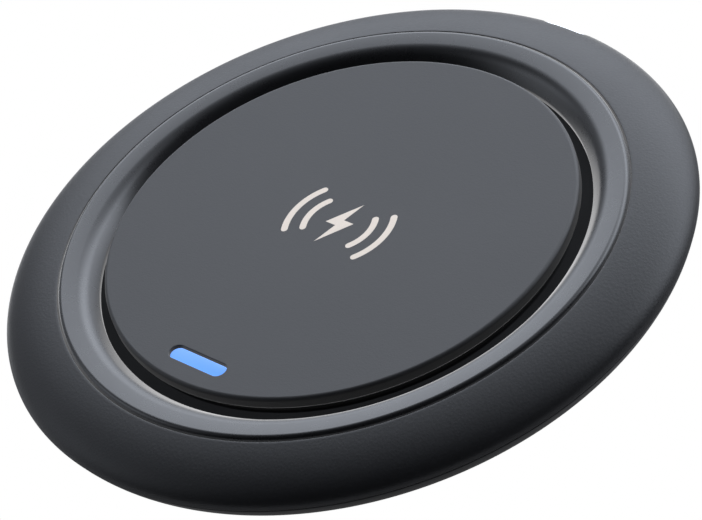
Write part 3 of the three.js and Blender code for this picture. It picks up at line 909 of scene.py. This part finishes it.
class PAD_OT_print(bpy.types.Operator):
    """Generic printed charging sign: a bolt between two pairs of arcs"""

    bl_idname = "pad.print"
    bl_label = "Printed sign"

    def execute(self, context):
        sizes = context.scene.pad_sizes
        face = box_mm("centre_disc")[1].z
        drawn_width, arc_half_width, arc_half_angle = 17.0, 0.5, math.radians(33)
        unit = sizes.print_width / drawn_width
        bolt = [(0.9, 4.4), (-2.1, -0.55), (-0.25, -0.55), (-0.9, -4.4), (2.1, 0.75), (0.3, 0.75)]
        shapes = [[(x * unit, y * unit) for x, y in bolt]]
        for radius in (5.3, 8.0):
            for side in (0.0, math.pi):
                shapes.append(self.band(radius * unit, arc_half_width * unit, side, arc_half_angle))
        bm = bmesh.new()
        for shape in shapes:
            self.stamp(bm, shape, face - PRINT_SUNK, face + PRINT_PROUD)
        settle(from_bmesh("printed_sign", bm, "printed_ink"), "disc_face")
        return {"FINISHED"}

    def band(self, radius, half_width, side, half_angle):
        """An arc-shaped band about the centre, facing one side, with round ends."""
        steps = 24
        start, end = side - half_angle, side + half_angle
        far, close = radius + half_width, radius - half_width
        outer = arc(0, 0, far, far, start, end, steps)
        inner = arc(0, 0, close, close, end, start, steps)
        tips = []
        for angle, first in ((end, end), (start, start + math.pi)):
            x, y = radius * math.cos(angle), radius * math.sin(angle)
            tips.append(arc(x, y, half_width, half_width, first, first + math.pi, 8)[1:-1])
        return outer + tips[0] + inner + tips[1]

    def stamp(self, bm, shape, low_z, high_z):
        """Adds one closed prism of ink."""
        low = [bm.verts.new((x * MM, y * MM, low_z * MM)) for x, y in shape]
        high = [bm.verts.new((x * MM, y * MM, high_z * MM)) for x, y in shape]
        for i in range(len(shape)):
            j = (i + 1) % len(shape)
            bm.faces.new((low[i], low[j], high[j], high[i]))
        bm.faces.new(low)
        bm.faces.new(high)


# ---- geometry node trees


class Grower:
    """Builds a Geometry Nodes tree with named inputs and bakes it into a plain mesh."""

    KINDS = {int: "NodeSocketInt", float: "NodeSocketFloat", bpy.types.Object: "NodeSocketObject"}

    def __init__(self, name, inputs):
        self.tree = bpy.data.node_groups.new(name, "GeometryNodeTree")
        interface = self.tree.interface
        interface.new_socket("Geometry", in_out="INPUT", socket_type="NodeSocketGeometry")
        self.values = {}
        for label, value in inputs.items():
            socket = interface.new_socket(label, in_out="INPUT", socket_type=self.KINDS[type(value)])
            self.values[socket.identifier] = value
        interface.new_socket("Geometry", in_out="OUTPUT", socket_type="NodeSocketGeometry")
        self.given = self.tree.nodes.new("NodeGroupInput").outputs

    def add(self, kind, **inputs):
        """A node with its inputs set or linked; gives back its first output."""
        made = self.tree.nodes.new(kind)
        for key, given in inputs.items():
            target = made.inputs[key.replace("_", " ")]
            if isinstance(given, bpy.types.NodeSocket):
                self.tree.links.new(given, target)
            else:
                target.default_value = given
        return made.outputs[0]

    def vector(self, **parts):
        return self.add("ShaderNodeCombineXYZ", **parts)

    def moved(self, geometry, offset, turn=None):
        """The geometry, moved by an offset in millimetres and turned if a rotation is given."""
        inputs = {"Geometry": geometry, "Translation": Vector(offset) * MM}
        if turn:
            inputs["Rotation"] = turn
        return self.add("GeometryNodeTransform", **inputs)

    def copies(self, points, instance):
        return self.add("GeometryNodeInstanceOnPoints", Points=points, Instance=instance)

    def bake(self, name, geometry, finish):
        """Paints the geometry, runs the tree and returns the result as a plain object."""
        real = self.add("GeometryNodeRealizeInstances", Geometry=geometry)
        painted = self.add("GeometryNodeSetMaterial", Geometry=real, Material=FINISHES[finish])
        sink = self.tree.nodes.new("NodeGroupOutput")
        self.tree.links.new(painted, sink.inputs[0])
        piece = new_object(name, bpy.data.meshes.new(name), finish)
        modifier = piece.modifiers.new("grow", "NODES")
        modifier.node_group = self.tree
        for identifier, value in self.values.items():
            modifier[identifier] = value
        piece = baked(piece)
        bpy.data.node_groups.remove(self.tree)
        return piece


class PAD_OT_screws(bpy.types.Operator):
    """Four casing screws, placed on their circle by a node tree"""

    bl_idname = "pad.screws"
    bl_label = "Casing screws"

    def execute(self, context):
        low, high = box_mm("screw_1")
        pattern = self.one_screw(high.z - low.z, (high.x - low.x) / 2)
        settings = {"Screws": 4, "Circle radius": SCREW_CIRCLE_RADIUS * MM}
        settings["First angle"] = math.radians(45)
        settings["Screw"] = pattern
        grower = Grower("screw_circle", settings)
        given = grower.given
        circle = grower.add(
            "GeometryNodeMeshCircle", Vertices=given["Screws"], Radius=given["Circle radius"]
        )
        placed = grower.moved(circle, (0.0, 0.0, low.z), grower.vector(Z=given["First angle"]))
        source = grower.tree.nodes.new("GeometryNodeObjectInfo")
        grower.tree.links.new(given["Screw"], source.inputs["Object"])
        copies = grower.copies(placed, source.outputs["Geometry"])
        screws = grower.bake("casing_screws", copies, "steel")
        smooth(screws.data)
        settle(screws, "steel", "screw_1", "screw_2", "screw_3", "screw_4")
        discard(pattern)
        return {"FINISHED"}

    def one_screw(self, length, head_radius):
        """A pan-head screw, head down at z = 0, with thread ridges and a cross recess."""
        shank = 0.78
        crest = 0.9
        head = 0.8
        head_round = 0.3
        pitch = 0.4
        flank = 0.14
        tip_long, tip_radius = 0.5, 0.3
        outline = [(0.0, 0.0)]
        outline += bend(head_radius - head_round, head_round, head_round, -1, 4)
        outline += [(head_radius, head), (shank, head)]
        z = head + pitch
        while z < length - 2 * pitch:
            outline += [(shank, z - flank), (crest, z), (shank, z + flank)]
            z += pitch
        outline += [(shank, length - tip_long), (tip_radius, length), (0.0, length)]
        screw = turned("screw_pattern", outline, "steel", 32, closed=False)
        bar_long, bar_wide, bar_round, bar_deep = 1.9, 0.42, 0.12, 0.45
        bars = []
        for dx, dy in ((bar_long, bar_wide), (bar_wide, bar_long)):
            outline = box_outline(dx, dy, bar_round, 3)
            rings = [at_height(outline, z) for z in (-OVERCUT / 2, bar_deep)]
            bars.append(lofted("bar", rings, "steel"))
        return cut_by(screw, *bars)


class PAD_OT_coil(bpy.types.Operator):
    """Transmitter coil, wound as a flat spiral of stranded wire by a node tree"""

    bl_idname = "pad.coil"
    bl_label = "Transmitter coil"

    def execute(self, context):
        sizes = context.scene.pad_sizes
        low, high = box_mm("transmitter_coil")
        wire = (high.z - low.z) / 2
        settings = {
            "Turns": float(sizes.coil_turns),
            "Inner radius": (COIL_INNER_RADIUS + wire) * MM,
            "Outer radius": (high.x - wire) * MM,
            "Wire radius": wire * 0.96 * MM,
        }
        grower = Grower("coil_winding", settings)
        given = grower.given
        spiral = grower.add(
            "GeometryNodeCurveSpiral", Resolution=72, Rotations=given["Turns"], Height=0.0,
            Start_Radius=given["Inner radius"], End_Radius=given["Outer radius"],
        )
        placed = grower.moved(spiral, (0.0, 0.0, (low.z + high.z) / 2))
        section = grower.add(
            "GeometryNodeCurvePrimitiveCircle", Resolution=10, Radius=given["Wire radius"]
        )
        tube = grower.add(
            "GeometryNodeCurveToMesh", Curve=placed, Profile_Curve=section, Fill_Caps=True
        )
        coil = grower.bake("coil_winding", tube, "copper_wire")
        smooth(coil.data, 60)
        settle(coil, "copper_wire", "transmitter_coil")
        return {"FINISHED"}


# ---- supply socket


class PAD_OT_socket(bpy.types.Operator):
    """Supply socket: folded shell, contact tongue and its rows of gold contacts"""

    bl_idname = "pad.socket"
    bl_label = "Supply socket"

    def execute(self, context):
        low, high = box_mm("usb_shell")
        centre = (low.z + high.z) / 2
        self.shell(low, high, centre)
        tongue_low, tongue_high = box_mm("usb_tongue")
        self.tongue(tongue_low, tongue_high, centre)
        self.contacts(tongue_high.y, centre)
        return {"FINISHED"}

    def shell(self, low, high, centre):
        """A tube with rolled edges at its mouth, walked round from the outside to the inside."""
        sheet = 0.3
        width = high.x - low.x
        height = high.z - low.z
        mouth = high.y - sheet / 2
        walk = [(low.y, 0.0), (mouth, 0.0)]
        for i in range(1, 7):
            angle = math.pi * i / 6
            walk.append((mouth + sheet / 2 * math.sin(angle), sheet * (1 - math.cos(angle)) / 2))
        walk.append((low.y + sheet, sheet))
        rings = []
        for y, inset in walk:
            outline = pill_outline(width - 2 * inset, height - 2 * inset, PILL_STEPS)
            rings.append(along_y(outline, y, centre))
        settle(lofted("socket_shell", rings, "steel"), "steel", "usb_shell")

    def tongue(self, low, high, centre):
        """The contact blade on its block, with the blade's tip tapered."""
        block_from, block_to, blade_from, taper = 0.4, 2.0, 1.0, 0.2
        block = pill_outline(high.x - low.x, high.z - low.z, 12)
        rings = [along_y(block, low.y + y, centre) for y in (block_from, block_to)]
        base = lofted("socket_tongue", rings, "black_moulding")
        middle = box_outline(TONGUE_WIDTH, TONGUE_THICKNESS, 0.2, 6)
        tip = box_outline(TONGUE_WIDTH - 0.3, TONGUE_THICKNESS - 0.3, 0.12, 6)
        rings = [along_y(middle, y, centre) for y in (low.y + blade_from, high.y - taper)]
        blade = lofted("blade", rings + [along_y(tip, high.y, centre)], "black_moulding")
        combine(base, blade, "UNION")
        baked(base)
        discard(blade)
        smooth(base.data)
        settle(base, "black_moulding", "usb_tongue")

    def contacts(self, mouth_y, centre):
        """Twelve contacts on each face of the tongue."""
        pitch = 0.5
        count = 12
        setback = 2.3
        settings = {
            "Contacts": count,
            "Pitch": pitch * MM,
            "Length": 3.4 * MM,
            "Width": 0.26 * MM,
            "Spread": TONGUE_THICKNESS * MM,
        }
        grower = Grower("contact_rows", settings)
        given = grower.given
        step = grower.vector(X=given["Pitch"])
        row = grower.add("GeometryNodeMeshLine", Count=given["Contacts"], Offset=step)
        rise = grower.vector(Z=given["Spread"])
        rows = grower.add("GeometryNodeMeshLine", Count=2, Offset=rise)
        grid = grower.add("GeometryNodeRealizeInstances", Geometry=grower.copies(rows, row))
        start = (-pitch * (count - 1) / 2, mouth_y - setback, centre - TONGUE_THICKNESS / 2)
        placed = grower.moved(grid, start)
        size = grower.vector(X=given["Width"], Y=given["Length"], Z=0.06 * MM)
        pins = grower.copies(placed, grower.add("GeometryNodeMeshCube", Size=size))
        settle(grower.bake("socket_contacts", pins, "gold"), "steel")


# ---- inner parts


class PAD_OT_inner_parts(bpy.types.Operator):
    """Finishes for the parts that keep their CAD shape"""

    bl_idname = "pad.inner_parts"
    bl_label = "Inner parts"

    def execute(self, context):
        for entry in frame["record"]["subparts"]:
            node = frame["nodes"][entry["node"]]
            node.data.materials.clear()
            node.data.materials.append(FINISHES[entry["material_slot"]])
        return {"FINISHED"}


# ---- stage


class PAD_OT_stage(bpy.types.Operator):
    """Camera, pale floor and soft studio light"""

    bl_idname = "pad.stage"
    bl_label = "Stage"

    def execute(self, context):
        scene = context.scene
        stage = scene.pad_stage
        scene.view_settings.view_transform = "Standard"
        scene.view_settings.look = "None"
        across = math.cos(stage.elevation)
        ahead = (math.sin(stage.azimuth) * across, -math.cos(stage.azimuth) * across)
        back = Vector((*ahead, math.sin(stage.elevation)))
        right = Vector(UP).cross(back).normalized()
        away = Vector(UP).cross(right)
        self.camera(scene, stage, back, right)
        self.floor(stage, away, right)
        self.light(scene, away, right)
        return {"FINISHED"}

    def camera(self, scene, stage, back, right):
        up = back.cross(right)
        side = right * math.cos(stage.roll) - up * math.sin(stage.roll)
        top = right * math.sin(stage.roll) + up * math.cos(stage.roll)
        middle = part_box("centre_disc")[1].z / 2
        aim = Vector((0.0, 0.0, middle)) + side * stage.aim_right + top * stage.aim_up
        data = bpy.data.cameras.new("camera")
        data.lens = stage.lens
        data.sensor_width = 36.0
        data.clip_start = 0.02
        camera = bpy.data.objects.new("camera", data)
        scene.collection.objects.link(camera)
        placed = Matrix((side, top, back)).transposed().to_4x4()
        placed.translation = aim + back * stage.distance
        camera.matrix_world = placed
        scene.camera = camera

    def floor(self, stage, away, right):
        """Lights the pad from below, less so behind it and on its left; plain white to the camera."""
        half = 20.0
        mesh = bpy.data.meshes.new("floor")
        corners = [(-half, -half, 0), (half, -half, 0), (half, half, 0), (-half, half, 0)]
        mesh.from_pydata(corners, [], [(0, 1, 2, 3)])
        finish = Finish("floor", Specular_IOR_Level=0.1, Emission_Strength=1.0)
        grain = finish.noise(40.0, detail=2.0)
        base = finish.mix(grain, rgba(stage.floor_colour, 0.49), rgba(stage.floor_colour, 0.51))
        gloss = (grain - 0.5) * 0.02 + 0.9
        place = finish.place()
        behind = finish.dot(place, away)
        spread = finish.node("ShaderNodeVectorMath", {"operation": "LENGTH"}, {0: place}, "Value")
        left = finish.fade(finish.dot(place, (right - away).normalized()), FLOOR_FADES["left"])
        near = finish.fade(spread, FLOOR_FADES["under"]) * finish.fade(behind, FLOOR_FADES["near"])
        far = finish.fade(behind, FLOOR_FADES["far"])
        dark = (left * 0.75).larger(near * 0.85).larger(far * 0.8)
        glow = finish.mix(dark, rgba(stage.floor_colour, FLOOR_GLOW), BLACK)
        surface = finish.wire(Base_Color=base, Roughness=gloss, Emission_Color=glow)
        plain = finish.node("ShaderNodeEmission", None, {"Color": WHITE, "Strength": 1.0})
        clear = finish.node("ShaderNodeBsdfTransparent")
        below = finish.node("ShaderNodeNewGeometry", output="Backfacing")
        plain = finish.node("ShaderNodeMixShader", None, {0: below, 1: plain, 2: clear})
        nodes = finish.tree.nodes
        shown = finish.shown_to_camera(Value(finish, nodes["Principled BSDF"].outputs[0]), plain)
        finish.tree.links.new(shown.socket, nodes["Material Output"].inputs["Surface"])
        FINISHES["floor"] = surface
        new_object("floor", mesh, "floor")

    def light(self, scene, away, right):
        """A softbox behind the pad, widest on the right; dark overhead and on the camera's side."""
        world = bpy.data.worlds.new("studio")
        scene.world = world
        world.use_nodes = True
        world.node_tree.nodes.clear()
        sky = Shader(world.node_tree)
        direction = sky.node("ShaderNodeTexCoord", output="Generated")
        depth = sky.dot(direction, away)
        side = sky.dot(direction, right)
        height = sky.dot(direction, UP)
        rise = sky.node("ShaderNodeValToRGB", {"stops": SKY_BY_HEIGHT}, {"Fac": height}, "Color")
        wide = sky.smoothstep(side, -0.38, -0.06, 0.14, 1.0)
        high_right = sky.smoothstep(side, 0.12, 0.4, 0.0, 0.5) * height
        rear = sky.smoothstep(depth, -0.12, 0.1)
        left = sky.smoothstep(side, -0.42, -0.7) * sky.smoothstep(depth, 0.08, 0.3)
        left = left * sky.smoothstep(depth, 0.7, 0.5)
        level = rise * (wide + high_right + left * 0.2) * rear * SKY_STRENGTH + SKY_LEAST
        tent = sky.node("ShaderNodeBackground", None, {"Color": SKY_TINT, "Strength": level})
        plain = sky.node("ShaderNodeBackground", None, {"Color": WHITE, "Strength": 1.0})
        sky.node("ShaderNodeOutputWorld", None, {"Surface": sky.shown_to_camera(tent, plain)})


# ---- add-on


PIECES = (
    PAD_OT_stage,
    PAD_OT_inner_parts,
    PAD_OT_casing,
    PAD_OT_foot_ring,
    PAD_OT_dish_ring,
    PAD_OT_disc,
    PAD_OT_light_window,
    PAD_OT_print,
    PAD_OT_screws,
    PAD_OT_coil,
    PAD_OT_socket,
)


class PAD_PT_panel(bpy.types.Panel):
    """Lists the pad's settings and the steps that build it"""

    bl_idname = "PAD_PT_panel"
    bl_label = "Charging pad"
    bl_space_type = "VIEW_3D"
    bl_region_type = "UI"
    bl_category = "Charging pad"

    def draw(self, context):
        for group in (context.scene.pad_sizes, context.scene.pad_colours, context.scene.pad_stage):
            box = self.layout.box()
            for name in group.__annotations__:
                box.prop(group, name)
        for piece in PIECES:
            self.layout.operator(piece.bl_idname)


GROUPS = {"pad_sizes": PadSizes, "pad_colours": PadColours, "pad_stage": StageSettings}


def register():
    for group in GROUPS.values():
        bpy.utils.register_class(group)
    for name, group in GROUPS.items():
        setattr(bpy.types.Scene, name, PointerProperty(type=group))
    for piece in PIECES:
        bpy.utils.register_class(piece)
    bpy.utils.register_class(PAD_PT_panel)


def unregister():
    bpy.utils.unregister_class(PAD_PT_panel)
    for piece in reversed(PIECES):
        bpy.utils.unregister_class(piece)
    for name, group in GROUPS.items():
        delattr(bpy.types.Scene, name)
        bpy.utils.unregister_class(group)


def open_reflections():
    """Keeps the pieces out of each other's reflections, so the polished ring mirrors only the studio."""
    for piece in bpy.data.objects:
        if piece.get("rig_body"):
            piece.visible_glossy = False


def main():
    register()
    FINISHES.update(make_finishes(bpy.context.scene.pad_colours))
    for piece in PIECES:
        group, name = piece.bl_idname.split(".")
        getattr(getattr(bpy.ops, group), name)()
    open_reflections()


if __name__ == "__main__":
    main()
